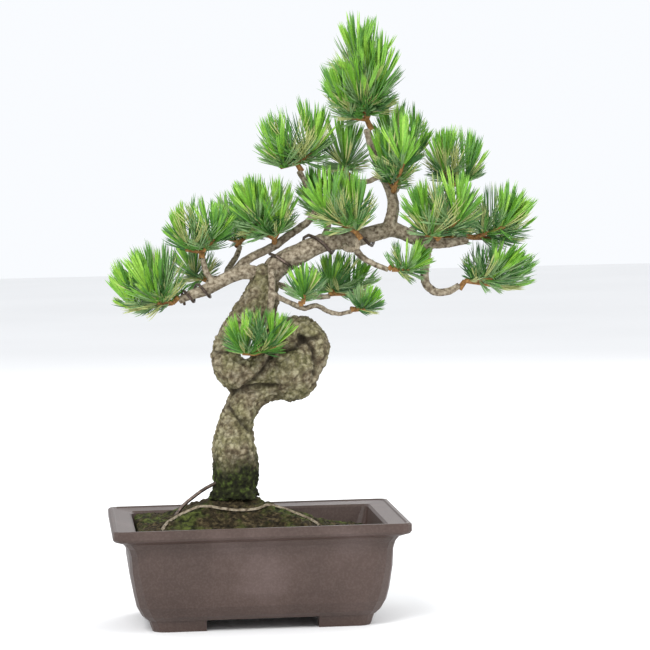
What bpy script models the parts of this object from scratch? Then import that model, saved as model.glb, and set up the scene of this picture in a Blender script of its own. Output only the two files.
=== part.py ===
"""Potted Japanese white pine bonsai: pot, soil, coiled trunk, boughs, wires and needle masses.

Lengths are in metres, +Z up. Places are first worked out from the middle of the pot on the
table, with the front of the tree at -Y, and the whole is then moved so that its origin lies
under the middle of its box.
"""
import math
import random

import bmesh
import bpy
import numpy as np
from mathutils import Matrix, Vector
from mathutils.bvhtree import BVHTree

MM = 0.001
GAP = 0.3 * MM

# Pot
POT_HALF_LENGTH = 100 * MM
POT_HALF_DEPTH = 75 * MM
POT_HEIGHT = 71.7 * MM
RIM_WIDTH = 16 * MM
RIM_HEIGHT = 7.2 * MM
WALL_INSET = 18 * MM
FOOT_HEIGHT = 8 * MM
FLOOR_TOP = 16 * MM
FOOT_INSET = 26 * MM
FOOT_LENGTH = 36 * MM
FOOT_WIDTH = 13 * MM
DRAIN_RADIUS = 8 * MM
DRAIN_PLACE = 42 * MM
CORNER_STEPS = 3

# Soil
GROUND = 84 * MM
SOIL_LEVEL = 61.5 * MM
SOIL_SLOPE = -0.07
MOUND_PEAK = (-15 * MM, 0.0)
MOUND_SPREAD = (46 * MM, 34 * MM)
MOUND_RINGS = 7

# Trunk
TRUNK_VOXEL = 2.4 * MM
TRUNK_TRIANGLES = 1950
TRUNK_LUMPS = 90
LUMP_SIZE = (2.5 * MM, 4.5 * MM)

# Foliage
NEEDLE_LENGTH = 43 * MM
SHORTEST_NEEDLE = 15 * MM
# Young and old needle bundles: width, thickness, lean from the shoot in degrees, and where
# they root as shares of the shoot's length
YOUNG = (4.6 * MM, 2.8 * MM, (3, 36), (0.8, 1.0))
OLD = (5.4 * MM, 1.8 * MM, (36, 98), (0.1, 0.9))
NEEDLES_PER_MASS = 24
NEEDLE_TRIES = 12
YOUNG_SHARE = 0.42
TWIG_RADIUS = 2.3 * MM
TIP_RADIUS = 1.8 * MM
SPACE_MARGIN = 0.04
LIMB_CLEARANCE = 0.5 * MM
MASS_CLEARANCE = 0.9 * MM
NEEDLE_CHECKS = 20
WIDEST = 0.66
ROOT_SHARE = 0.25
TIP_REACH = 10 * MM
STEM_NECK = 1.2 * MM
LOWEST_SHOOT = -0.62
SHOOT_SPREAD = 0.36
SHARP_ANGLE = math.radians(50)
COIL_STEPS = 9
GOLDEN_ANGLE = math.pi * (3 - math.sqrt(5))

COLOURS = {
    "pot": ((0.075, 0.045, 0.035), 0.55, 0.0),
    "soil": ((0.055, 0.045, 0.025), 0.95, 0.0),
    "bark": ((0.23, 0.18, 0.12), 0.9, 0.0),
    "twig": ((0.27, 0.2, 0.13), 0.85, 0.0),
    "needles": ((0.14, 0.3, 0.06), 0.5, 0.0),
    "wire": ((0.12, 0.08, 0.06), 0.4, 0.8),
}

# Centre line of the trunk from the ground through its two coils to the fork: x, y, z, radius
TRUNK_LINE = [
    (-15.3, 0, 78, 13.5), (-12.8, 0, 104.5, 16.5), (-14.4, 0, 123.9, 14), (-11.4, 0, 137.6, 11.8),
    (-6.9, 2, 148.3, 11.8), (2, 3, 157, 10.8), (18, 3, 165.5, 14), (34.5, 3, 173.4, 13.5),
    (41.7, 3, 185.6, 12.5), (35.7, 3, 196.8, 11), (25, 0, 195.9, 10), (14.8, -4, 185.4, 8.5),
    (6.9, -6, 174.7, 9), (-4.2, -6, 167.5, 11), (-14.9, -3, 172.5, 11.5), (-18.6, 0, 182.6, 9.8),
    (-14, 2, 195.4, 9.5), (-5, 3, 206.2, 10.5), (5.5, 3, 216, 13.5), (8.6, 2, 227.9, 10),
    (9.4, 0, 236.5, 8.5),
]
BURL_CENTRE = (25.9, -2, 171)
BURL_RADII = (21, 17, 22)
ROOT_FLARES = [(-28, -5), (-5, -11), (-21, 11), (-1, 6)]
FLARE_RADIUS = 5.5 * MM

# Limbs: the limbs they spring from, and their centre line as x, y, z, radius
LIMBS = {
    "main_limb": (["trunk"], [
        (9.3, 0, 231, 8.2), (17.8, 0, 242.3, 8), (33.6, -2, 250.8, 7.4), (49.6, -2, 258, 6.4),
        (67.1, 0, 259.6, 6), (84.7, 2, 263.2, 5.8), (97.4, 3, 266, 5.4), (106.9, 2, 263.4, 4.8),
        (116.3, 0, 258.4, 4.4), (126, 0, 256.1, 4), (138, 2, 256, 3.3), (151.5, 3, 257.5, 2.4)]),
    "left_bough": (["trunk", "main_limb"], [
        (9.4, 0, 236.2, 5.8), (-2.3, -1, 239.4, 5.6), (-12.7, -2, 237, 5), (-24.6, -3, 231.2, 4.7),
        (-33, -4, 227.1, 4.3), (-43.3, -5, 224, 3.4), (-49.6, -5, 221, 2.6)]),
    "back_bough": (["left_bough", "trunk"], [
        (-10.3, 1, 239.5, 3.2), (-4, 3, 246, 3.1), (5.8, 5, 251.2, 3), (18.4, 6, 257, 2.9),
        (28.3, 7, 264.2, 2.8), (39.7, 8, 271.4, 2.6), (46.9, 8, 280.5, 2.4), (43.5, 6, 293, 2.2),
        (37.9, 3, 302.7, 2.1), (35.1, 2, 307.6, 2)]),
    "leader": (["main_limb"], [
        (95.5, 2, 264, 4.8), (99.9, 4, 280, 4.2), (98.6, 5, 292, 3.7), (91.3, 4, 308.5, 3.3),
        (86.5, 2, 319.6, 3), (84.3, 0, 327.9, 2.8), (82.4, 0, 335.5, 2.6)]),
    "upper_inner_twig": (["leader"], [
        (93, 4.5, 304.5, 2), (84.7, 9, 299.6, 1.9), (76, 12, 299.5, 1.8), (69.4, 14, 303, 1.7)]),
    "front_spur": (["main_limb"], [
        (61, -1, 257.6, 2.6), (67.2, -10, 253.4, 2.3), (72.6, -14, 254.8, 2.1), (72.4, -15, 261, 2)]),
    "right_under_twig": (["main_limb"], [
        (70.5, 0, 257.4, 2.6), (76, -4, 248.4, 2.3), (83.6, -7, 243.4, 2), (94.2, -8, 238.9, 1.7)]),
    "front_twig": (["main_limb", "trunk"], [
        (13.4, -2, 243.5, 2.7), (13.7, -12.5, 237, 2.5), (13.4, -16, 227.2, 2.4), (12, -18, 215, 2.2),
        (9.9, -20, 202.9, 2), (4.6, -22, 193.4, 1.9), (2, -22.5, 188.9, 1.8)]),
    "low_front_twig": (["front_twig"], [
        (13.2, -16.2, 225, 2.1), (21.4, -17.5, 220, 1.9), (31.5, -18, 215.9, 1.7)]),
    "low_right_twig": (["low_front_twig"], [
        (25.5, -17.6, 218.2, 1.9), (35.6, -10, 213.6, 1.9), (44, -8, 215.6, 1.8),
        (52, -8, 211.3, 1.7), (60, -8, 209.2, 1.6), (68.8, -8, 211, 1.5)]),
    "under_twig": (["trunk", "main_limb"], [
        (10.5, 2, 231.5, 2.5), (20, 7, 229.6, 2.4), (33.6, 12, 224, 2.1), (46.4, 16, 220.1, 1.9),
        (56.2, 17, 220.5, 1.8)]),
    "left_mid_twig": (["left_bough"], [
        (-24.6, -3, 231.4, 2.3), (-30.7, -6, 240.1, 2), (-32.3, -7, 247, 1.9), (-32.6, -7, 250.4, 1.8)]),
    "left_back_twig": (["left_bough"], [
        (-18.2, -2.4, 234.1, 2.2), (-24.5, 8, 235.3, 1.9), (-28.4, 14, 232.4, 1.8)]),
    "droop_bough": (["main_limb"], [
        (123.5, 0, 256.5, 3.3), (121.6, -1, 246.5, 3.2), (120.2, -1, 236.3, 3.1),
        (121.6, -1, 227.4, 3), (128.8, 0, 222.2, 2.9), (137.9, 0, 222.8, 2.6), (144.2, 0, 226.7, 2.3)]),
    "right_front_spur": (["main_limb"], [
        (114, 0, 258.8, 2.4), (121, -9, 254.6, 2.1), (128.4, -13, 257.6, 1.9)]),
    "right_high_twig": (["main_limb"], [
        (108.5, 2, 262.6, 2.8), (121, 10, 270.5, 2.4), (134.2, 16, 281.9, 2.2), (140.9, 18, 290.8, 2)]),
    "back_left_twig": (["left_bough"], [
        (-16, -2, 235.5, 2.6), (-14.5, 11, 241, 2.3), (-8, 22, 249, 2), (-5, 27, 256, 1.9)]),
    "back_centre_twig": (["main_limb"], [
        (50, -2, 258, 2.7), (52.8, 15, 262.2, 2.3), (55.9, 25, 266.8, 2), (57.7, 28, 270.1, 1.9)]),
    "back_right_twig": (["main_limb"], [
        (113, 1, 260.2, 2.7), (123.6, 15, 257.6, 2.3), (135.3, 27, 255.5, 2), (140, 30, 256.4, 1.9)]),
    "back_upper_twig": (["leader"], [
        (98.9, 5, 289.7, 2.4), (104.6, 15, 294.7, 2.1), (109.1, 22, 303.9, 1.9), (110.9, 24, 308.7, 1.8)]),
}
DROOP_SPLIT = 0.58
BENT_LIMBS = ("leader", "droop_bough")

# Masses: carrier, base, middle and half sizes of the mass's space, shoots, turn of the first
# shoot in degrees, and the height of the topmost shoot's end as a share of the half height
MASSES = {
    "apex": ("leader", (82.4, 0, 342), (79, 0, 374), (33, 29, 48.5), 5, 200, 0.16),
    "upper_left": ("back_bough", (33.6, 2, 313), (34, 1, 330), (33, 28, 32), 2, 190, -0.3),
    "upper_inner": ("upper_inner_twig", (68.2, 14.6, 307), (68, 16, 321), (24, 21, 30), 1, 0, -0.3),
    "leader_front": ("leader", (99.9, -5, 294), (101, -9, 322), (23, 21, 35), 2, 120, -0.3),
    "front": ("front_spur", (72, -15.4, 265), (61, -18, 288), (30, 23, 29), 2, 15, -0.35),
    "right_high": ("right_high_twig", (143, 19, 295), (146, 21, 315), (27, 25, 27), 2, 20, -0.35),
    "right_front": ("right_front_spur", (129.6, -14, 261), (131, -19, 282), (33, 25, 32), 2, 170, -0.3),
    "right_far": ("main_limb", (156, 3, 259), (177, 3, 275), (28, 28, 28), 2, 80, -0.3),
    "right_low": ("droop_lower", (148.5, 0, 229.5), (172, 0, 238), (33, 28, 23), 2, 60, -0.3),
    "left_inner": ("back_bough", (17, -1, 261.5), (9, -3, 284), (30, 25, 29), 3, 0, -0.3),
    "left_mid": ("left_mid_twig", (-33, -7.4, 254), (-34.5, -9, 271), (29, 25, 25), 2, 160, -0.35),
    "left_tip": ("left_bough", (-54, -5, 219.4), (-70, -5, 237), (31, 27, 35), 3, 180, -0.35),
    "left_back": ("left_back_twig", (-29.5, 16.5, 233.4), (-38, 24, 244), (24, 22, 20), 1, 150, -0.35),
    "low_front": ("low_front_twig", (34, -18.2, 217.4), (35.5, -20, 231), (19, 18, 17.5), 1, 0, -0.4),
    "lowest": ("front_twig", (0.2, -25.4, 184.6), (3.1, -27, 198), (32, 20, 21), 2, 180, -0.4),
    "under": ("under_twig", (59, 17.4, 222), (66, 20, 234), (31, 23, 21), 2, 30, -0.3),
    "low_right": ("low_right_twig", (71.5, -8, 212), (78, -8, 217), (17, 16, 16), 1, 0, -0.3),
    "right_under": ("right_under_twig", (96.8, -8, 238.8), (109, -9, 245), (21, 18, 20), 1, 0, -0.35),
    "back_left": ("back_left_twig", (-4.6, 29, 259), (-3, 38, 277), (30, 26, 26), 2, 150, -0.35),
    "back_centre": ("back_centre_twig", (58.4, 30, 273), (60, 39, 292), (29, 26, 28), 2, 0, -0.35),
    "back_right": ("back_right_twig", (142, 32, 258.5), (147, 42, 274), (30, 26, 26), 2, 30, -0.35),
    "back_upper": ("back_upper_twig", (111.5, 25, 312), (110, 30, 332), (25, 24, 27), 2, 10, -0.35),
}

# Wires: the limb they wind round, first and last share of its length, turns, first angle, radius
WIRES = {
    "wire_main_limb": ("main_limb", 0.1, 0.49, 2.8, 10, 1.1),
    "wire_left_bough": ("left_bough", 0.58, 0.95, 2.2, 270, 1.0),
}

# The wire that ties the trunk down, from the soil into the trunk: x, y, height over the soil's
# level at its foot, radius
ANCHOR_WIRE = [(-55.5, -13, 0, 1.3), (-50.6, -12, 6.5, 1.3), (-42, -10, 13, 1.3),
               (-34, -8, 18, 1.3), (-20, -4, 24, 1.3)]
# A bare root that lies on the soil and passes in front of the trunk: x, y
SURFACE_ROOT = [(-66, -46.6), (-62, -31), (-55, -20.5), (-45.6, -17.5), (-32, -20), (-16, -22),
                (0, -19), (13, -9), (26, -5), (36, -8), (41, -24)]
SURFACE_ROOT_RADIUS = 1.2


def mm(x, y, z):
    return Vector((x, y, z)) * MM


def clear_scene():
    for obj in list(bpy.data.objects):
        bpy.data.objects.remove(obj, do_unlink=True)


def new_collection(name):
    collection = bpy.data.collections.new(name)
    bpy.context.scene.collection.children.link(collection)
    return collection


def make_material(name):
    colour, roughness, metallic = COLOURS[name]
    material = bpy.data.materials.new(name)
    material.use_nodes = True
    shader = material.node_tree.nodes["Principled BSDF"]
    shader.inputs["Base Color"].default_value = (*colour, 1)
    shader.inputs["Roughness"].default_value = roughness
    shader.inputs["Metallic"].default_value = metallic
    return material


def object_from_bmesh(name, shape, collection):
    mesh = bpy.data.meshes.new(name)
    bmesh.ops.recalc_face_normals(shape, faces=shape.faces)
    shape.to_mesh(mesh)
    shape.free()
    obj = bpy.data.objects.new(name, mesh)
    collection.objects.link(obj)
    return obj


def discard(obj):
    """Remove a helper object, and its mesh if nothing else uses that."""
    data = obj.data
    bpy.data.objects.remove(obj, do_unlink=True)
    if data.users == 0:
        bpy.data.meshes.remove(data)


def settle(obj):
    """Apply every modifier of an object."""
    bpy.context.view_layer.update()
    depsgraph = bpy.context.evaluated_depsgraph_get()
    mesh = bpy.data.meshes.new_from_object(obj.evaluated_get(depsgraph))
    old = obj.data
    obj.modifiers.clear()
    obj.data = mesh
    if old.users == 0:
        bpy.data.meshes.remove(old)


def shade_round(obj):
    obj.data.shade_smooth()
    obj.data.set_sharp_from_angle(angle=SHARP_ANGLE)


def boolean(target, operand, operation, solver="EXACT"):
    modifier = target.modifiers.new(operation.title(), "BOOLEAN")
    modifier.operation = operation
    modifier.solver = solver
    if isinstance(operand, bpy.types.Collection):
        modifier.operand_type = "COLLECTION"
        modifier.collection = operand
    else:
        modifier.object = operand
    settle(target)


def keep_largest_body(obj):
    """Drop the scraps that a cut leaves beside the main body."""
    shape = bmesh.new()
    shape.from_mesh(obj.data)
    unseen = set(shape.verts)
    bodies = []
    while unseen:
        front = [unseen.pop()]
        body = list(front)
        while front:
            vert = front.pop()
            for edge in vert.link_edges:
                other = edge.other_vert(vert)
                if other in unseen:
                    unseen.remove(other)
                    front.append(other)
                    body.append(other)
        bodies.append(body)
    bodies.sort(key=len, reverse=True)
    scraps = [vert for body in bodies[1:] for vert in body]
    bmesh.ops.delete(shape, geom=scraps, context="VERTS")
    shape.to_mesh(obj.data)
    shape.free()


def smooth_path(knots, per_span=4):
    """Catmull-Rom samples through knots of x, y, z, radius in millimetres, in metres."""
    rows = np.array(knots, dtype=float) * MM
    rows = np.vstack([2 * rows[0] - rows[1], rows, 2 * rows[-1] - rows[-2]])
    samples = []
    for before, start, end, after in zip(rows, rows[1:], rows[2:], rows[3:]):
        for t in np.arange(per_span) / per_span:
            samples.append(0.5 * (2 * start + (end - before) * t
                                  + (2 * before - 5 * start + 4 * end - after) * t ** 2
                                  + (3 * start - before - 3 * end + after) * t ** 3))
    samples.append(rows[-2])
    return np.array(samples)


def tube(name, rows, collection, side_level=1, grow=0.0):
    """A closed tube through rows of x, y, z, radius; its sides number 4 + 2 * side_level."""
    curve = bpy.data.curves.new(name, "CURVE")
    curve.dimensions = "3D"
    curve.bevel_depth = 1.0
    curve.bevel_resolution = side_level
    curve.use_fill_caps = True
    spline = curve.splines.new("POLY")
    spline.points.add(len(rows) - 1)
    for point, (x, y, z, radius) in zip(spline.points, rows):
        point.co = (x, y, z, 1)
        point.radius = radius + grow
    guide = bpy.data.objects.new(name + "_line", curve)
    collection.objects.link(guide)
    bpy.context.view_layer.update()
    depsgraph = bpy.context.evaluated_depsgraph_get()
    mesh = bpy.data.meshes.new_from_object(guide.evaluated_get(depsgraph))
    shape = bmesh.new()
    shape.from_mesh(mesh)
    bmesh.ops.remove_doubles(shape, verts=shape.verts, dist=0.001 * MM)
    obj = object_from_bmesh(name, shape, collection)
    bpy.data.objects.remove(guide, do_unlink=True)
    bpy.data.curves.remove(curve)
    bpy.data.meshes.remove(mesh)
    return obj


def rounded_rectangle(half_x, half_y, radius, z):
    """Points of a level rounded rectangle, anticlockwise seen from above."""
    points = []
    for quarter, (side_x, side_y) in enumerate([(1, 1), (-1, 1), (-1, -1), (1, -1)]):
        for step in range(CORNER_STEPS + 1):
            angle = math.radians(90 * (quarter + step / CORNER_STEPS))
            points.append((side_x * (half_x - radius) + radius * math.cos(angle),
                           side_y * (half_y - radius) + radius * math.sin(angle), z))
    return points


def loft(name, rings, collection):
    """A closed body whose skin runs through rings of equally many points."""
    shape = bmesh.new()
    loops = [[shape.verts.new(point) for point in ring] for ring in rings]
    for lower, upper in zip(loops, loops[1:]):
        for i, vert in enumerate(lower):
            j = (i + 1) % len(lower)
            shape.faces.new((vert, lower[j], upper[j], upper[i]))
    shape.faces.new(reversed(loops[0]))
    shape.faces.new(loops[-1])
    return object_from_bmesh(name, shape, collection)


def box(name, low, high, collection):
    shape = bmesh.new()
    bmesh.ops.create_cube(shape, size=1)
    size = Vector(high) - Vector(low)
    middle = (Vector(high) + Vector(low)) / 2
    bmesh.ops.scale(shape, vec=size, verts=shape.verts)
    bmesh.ops.translate(shape, vec=middle, verts=shape.verts)
    return object_from_bmesh(name, shape, collection)


def pot_ring(inset, z, radius):
    return rounded_rectangle(POT_HALF_LENGTH - inset, POT_HALF_DEPTH - inset, radius, z)


def make_pot(collection, cutters):
    """A bowed, rimmed tray on four corner feet, with two drain holes in its floor."""
    under_rim = POT_HEIGHT - RIM_HEIGHT
    outside = [(22 * MM, FOOT_HEIGHT, 12 * MM), (19 * MM, 10.9 * MM, 14 * MM),
               (15.5 * MM, 17.5 * MM, 15 * MM), (13.6 * MM, 26 * MM, 14 * MM),
               (11.6 * MM, 41 * MM, 12 * MM), (11 * MM, 53 * MM, 11 * MM),
               (9.6 * MM, 58 * MM, 11 * MM), (7 * MM, 61.9 * MM, 10 * MM),
               (1 * MM, under_rim, 7 * MM), (0, under_rim + 1.5 * MM, 6.5 * MM),
               (0, POT_HEIGHT - 1 * MM, 6.5 * MM), (1 * MM, POT_HEIGHT, 6 * MM)]
    inside = [(3 * MM, POT_HEIGHT, 5.5 * MM), (4 * MM, POT_HEIGHT - 0.8 * MM, 5 * MM),
              (RIM_WIDTH - 1.5 * MM, POT_HEIGHT - 2 * MM, 4 * MM),
              (RIM_WIDTH, POT_HEIGHT - 3.5 * MM, 4 * MM), (WALL_INSET, 52 * MM, 8 * MM),
              (WALL_INSET + 3 * MM, 26 * MM, 10 * MM), (WALL_INSET + 9 * MM, FLOOR_TOP, 10 * MM)]
    pot = loft("pot", [pot_ring(*ring) for ring in outside + inside], collection)
    feet = loft("feet", [pot_ring(FOOT_INSET, 0, 9 * MM),
                         pot_ring(FOOT_INSET - 3.2 * MM, FOOT_HEIGHT + 1 * MM, 11 * MM)], cutters)
    span_x = POT_HALF_LENGTH - FOOT_INSET - FOOT_LENGTH
    span_y = POT_HALF_DEPTH - FOOT_INSET - FOOT_LENGTH * 0.75
    inner_x = POT_HALF_LENGTH - FOOT_INSET - FOOT_WIDTH
    inner_y = POT_HALF_DEPTH - FOOT_INSET - FOOT_WIDTH
    top = FOOT_HEIGHT + 5 * MM
    for low_x, low_y in [(span_x, 1), (1, span_y), (inner_x, inner_y)]:
        gap = box("foot_gap", (-low_x, -low_y, -1), (low_x, low_y, top), cutters)
        boolean(feet, gap, "DIFFERENCE")
        discard(gap)
    boolean(pot, feet, "UNION")
    discard(feet)
    for side in (-1, 1):
        shape = bmesh.new()
        bmesh.ops.create_cone(shape, segments=12, cap_ends=True, radius1=DRAIN_RADIUS,
                              radius2=DRAIN_RADIUS, depth=FLOOR_TOP * 3)
        bmesh.ops.translate(shape, vec=(side * DRAIN_PLACE, 0, FLOOR_TOP), verts=shape.verts)
        drain = object_from_bmesh("drain", shape, cutters)
        boolean(pot, drain, "DIFFERENCE")
        discard(drain)
    return pot


def soil_height(x, y):
    """Height of the mounded soil above the table."""
    edge_x = min(abs(x) / (POT_HALF_LENGTH - WALL_INSET), 1)
    edge_y = min(abs(y) / (POT_HALF_DEPTH - WALL_INSET), 1)
    fade = (1 - edge_x ** 4) * (1 - edge_y ** 4)
    far_x = (x - MOUND_PEAK[0]) / MOUND_SPREAD[0]
    far_y = (y - MOUND_PEAK[1]) / MOUND_SPREAD[1]
    level = SOIL_LEVEL + SOIL_SLOPE * x
    peak = GROUND - SOIL_LEVEL - SOIL_SLOPE * MOUND_PEAK[0] - GAP
    return level + peak * math.exp(-(far_x ** 2 + far_y ** 2) / 2) * fade


def make_soil(collection):
    """The soil fills the pot a gap clear of its walls and rises in a mound to the trunk."""
    def wall(inset, z, radius):
        return pot_ring(inset + GAP, z, radius)
    rings = [wall(WALL_INSET + 9 * MM, FLOOR_TOP + GAP, 10 * MM),
             wall(WALL_INSET + 3 * MM, 26 * MM, 10 * MM), wall(WALL_INSET, 52 * MM, 8 * MM)]
    edge = wall(WALL_INSET, 52 * MM, 8 * MM)
    for step in range(MOUND_RINGS):
        share = 1 - (step / MOUND_RINGS) ** 0.8
        ring = []
        for x, y, _ in edge:
            place_x = MOUND_PEAK[0] + (x - MOUND_PEAK[0]) * share
            place_y = MOUND_PEAK[1] + (y - MOUND_PEAK[1]) * share
            ring.append((place_x, place_y, soil_height(place_x, place_y)))
        rings.append(ring)
    flat = [(x, y, GROUND - GAP) for x, y, _ in rings[-1]]
    rings[-1] = flat
    return loft("soil", rings, collection)


def add_ball(shape, centre, radii, turns=12):
    matrix = Matrix.Translation(centre) @ Matrix.Diagonal((*radii, 1))
    bmesh.ops.create_uvsphere(shape, u_segments=turns, v_segments=turns // 2, radius=1,
                              matrix=matrix)


def make_trunk(collection, cutters):
    """The trunk's coils, burl, flares and knobs as balls fused into one skin, cut at ground."""
    rng = random.Random(7)
    shape = bmesh.new()
    rows = smooth_path(TRUNK_LINE, 5)
    for x, y, z, radius in rows:
        add_ball(shape, (x, y, z), (radius,) * 3)
    add_ball(shape, mm(*BURL_CENTRE), mm(*BURL_RADII))
    for x, y in ROOT_FLARES:
        add_ball(shape, mm(x, y, 82), (FLARE_RADIUS, FLARE_RADIUS, FLARE_RADIUS * 1.6))
    for _ in range(TRUNK_LUMPS):
        x, y, z, radius = rows[rng.randrange(len(rows))]
        away = Vector((rng.gauss(0, 1), rng.gauss(0, 1), rng.gauss(0, 1))).normalized()
        size = rng.uniform(*LUMP_SIZE)
        add_ball(shape, Vector((x, y, z)) + away * (radius - size * 0.45), (size,) * 3, 8)
    trunk = object_from_bmesh("trunk", shape, collection)
    remesh = trunk.modifiers.new("Fuse", "REMESH")
    remesh.mode = "VOXEL"
    remesh.voxel_size = TRUNK_VOXEL
    settle(trunk)
    keep_largest_body(trunk)
    decimate = trunk.modifiers.new("Facets", "DECIMATE")
    triangles = sum(len(face.vertices) - 2 for face in trunk.data.polygons)
    decimate.ratio = TRUNK_TRIANGLES / triangles
    settle(trunk)
    below = box("below_ground", (-0.1, -0.1, 0), (0.1, 0.1, GROUND), cutters)
    boolean(trunk, below, "DIFFERENCE")
    discard(below)
    keep_largest_body(trunk)
    return trunk


def grown_trunk(trunk, cutters):
    """A copy of the trunk that stands a gap proud of it all over."""
    copy = bpy.data.objects.new("grown_trunk", trunk.data)
    cutters.objects.link(copy)
    displace = copy.modifiers.new("Grow", "DISPLACE")
    displace.mid_level = 0
    displace.strength = GAP * 1.4
    settle(copy)
    return copy


def limb_rows(name):
    return smooth_path(LIMBS[name][1], 3 if name in BENT_LIMBS else 2)


def limb_level(name):
    return 2 if name == "main_limb" else 1


def make_limbs(trunk, collection, cutters):
    """Each limb starts inside its carrier and is cut a gap clear of it."""
    limbs = {}
    for name, (carriers, _) in LIMBS.items():
        rows = limb_rows(name)
        limb = tube(name, rows, collection, limb_level(name))
        for carrier in carriers:
            if carrier == "trunk":
                cutter = grown_trunk(trunk, cutters)
            else:
                cutter = tube("cutter", limb_rows(carrier), cutters, limb_level(carrier), GAP)
            boolean(limb, cutter, "DIFFERENCE")
            discard(cutter)
        keep_largest_body(limb)
        limbs[name] = limb
    return limbs


def split_droop(limbs, collection):
    """Part the drooping bough at the bottom of its bend into two limbs, end to end."""
    rows = limb_rows("droop_bough")
    part = int(len(rows) * DROOP_SPLIT)
    heading = Vector(rows[part][:3] - rows[part - 1][:3]).normalized()
    start, neck = rows[part].copy(), rows[part].copy()
    start[:3] += heading * GAP
    neck[:3] += heading * STEM_NECK
    lower = tube("droop_lower", np.vstack([start, neck, rows[part + 1:]]), collection)
    upper = tube("droop_upper", rows[:part + 1], collection)
    cutter = tube("cutter", limb_rows("main_limb"), collection, limb_level("main_limb"), GAP)
    boolean(upper, cutter, "DIFFERENCE")
    discard(cutter)
    keep_largest_body(upper)
    discard(limbs.pop("droop_bough"))
    limbs["droop_upper"] = upper
    limbs["droop_lower"] = lower
    return rows


def coil_rows(name):
    """Points of a wire wound round a limb, lying a gap off its bark."""
    limb, first, last, turns, angle, radius_mm = WIRES[name]
    radius = radius_mm * MM
    path = smooth_path(LIMBS[limb][1], 12)
    steps = round(turns * COIL_STEPS)
    lift = 1.01 / math.cos(math.pi / COIL_STEPS)
    rows = []
    for step in range(steps + 1):
        share = first + (last - first) * step / steps
        place = share * (len(path) - 1)
        index = min(int(place), len(path) - 2)
        row = path[index] + (path[index + 1] - path[index]) * (place - index)
        along = Vector((path[index + 1] - path[index])[:3]).normalized()
        side = along.cross(Vector((0, 1, 0))).normalized()
        front = along.cross(side)
        turn = math.radians(angle + 360 * turns * step / steps)
        out = side * math.cos(turn) + front * math.sin(turn)
        centre = Vector(row[:3]) + out * (row[3] + radius + GAP) * lift
        rows.append((*centre, radius))
    return rows


def soil_top(skin, x, y):
    return skin.ray_cast(Vector((x, y, GROUND * 2)), Vector((0, 0, -1)))[0].z


def surface_rows(soil):
    """The surface root's line, laid on the soil a gap clear of it."""
    skin = skin_of([soil])
    rows = smooth_path([(x, y, 0, SURFACE_ROOT_RADIUS) for x, y in SURFACE_ROOT], 2)
    for row in rows:
        row[2] = soil_top(skin, row[0], row[1]) + row[3] + GAP * 2
    return rows


def make_anchor_wire(soil, trunk, collection, cutters):
    """The tie wire rises from a gap over the soil to a gap off the trunk."""
    rows = smooth_path(ANCHOR_WIRE, 2)
    rows[:, 2] += soil_top(skin_of([soil]), rows[0][0], rows[0][1]) + rows[0][3] + GAP
    wire = tube("anchor_wire", rows, collection)
    cutter = grown_trunk(trunk, cutters)
    boolean(wire, cutter, "DIFFERENCE")
    discard(cutter)
    keep_largest_body(wire)
    return wire


def cone_between(name, start, end, radius_start, radius_end, sides, collection):
    """A tapered prism from start to end, closed at both ends."""
    line = end - start
    shape = bmesh.new()
    matrix = (Matrix.Translation((start + end) / 2)
              @ line.to_track_quat("Z", "Y").to_matrix().to_4x4())
    bmesh.ops.create_cone(shape, cap_ends=True, segments=sides, radius1=radius_start,
                          radius2=radius_end, depth=line.length, matrix=matrix)
    return object_from_bmesh(name, shape, collection)


def needle_mesh():
    """A needle of unit length and width: three-sided, widest past its middle."""
    shape = bmesh.new()
    bmesh.ops.create_uvsphere(shape, u_segments=3, v_segments=2, radius=0.5)
    bmesh.ops.translate(shape, vec=(0, 0, 0.5), verts=shape.verts)
    for vert in shape.verts:
        if 0.25 < vert.co.z < 0.75:
            vert.co.z = WIDEST
    mesh = bpy.data.meshes.new("needle")
    mesh.use_fake_user = True
    bmesh.ops.recalc_face_normals(shape, faces=shape.faces)
    shape.to_mesh(mesh)
    shape.free()
    return mesh


def space_share(name, point):
    """Distance from the middle of a mass's space, 1 at its border."""
    _, _, middle, radii, *_ = MASSES[name]
    offset = point - mm(*middle)
    return math.sqrt(sum((offset[i] / (radii[i] * MM)) ** 2 for i in range(3)))


def in_space(name, point):
    own = space_share(name, point)
    if own > 1:
        return False
    return all(space_share(other, point) > own + SPACE_MARGIN for other in MASSES if other != name)


def reach(name, root, direction):
    """How far a needle can grow from its root before it leaves the mass's space."""
    length = 0.0
    step = 1 * MM
    while length < NEEDLE_LENGTH and space_share(name, root + direction * (length + step)) < 1:
        length += step
    return length


def needle_half_width(share, width):
    """Half the width of a needle at a share of its length."""
    return width / 2 * np.minimum(share / WIDEST, (1 - share) / (1 - WIDEST))


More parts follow.
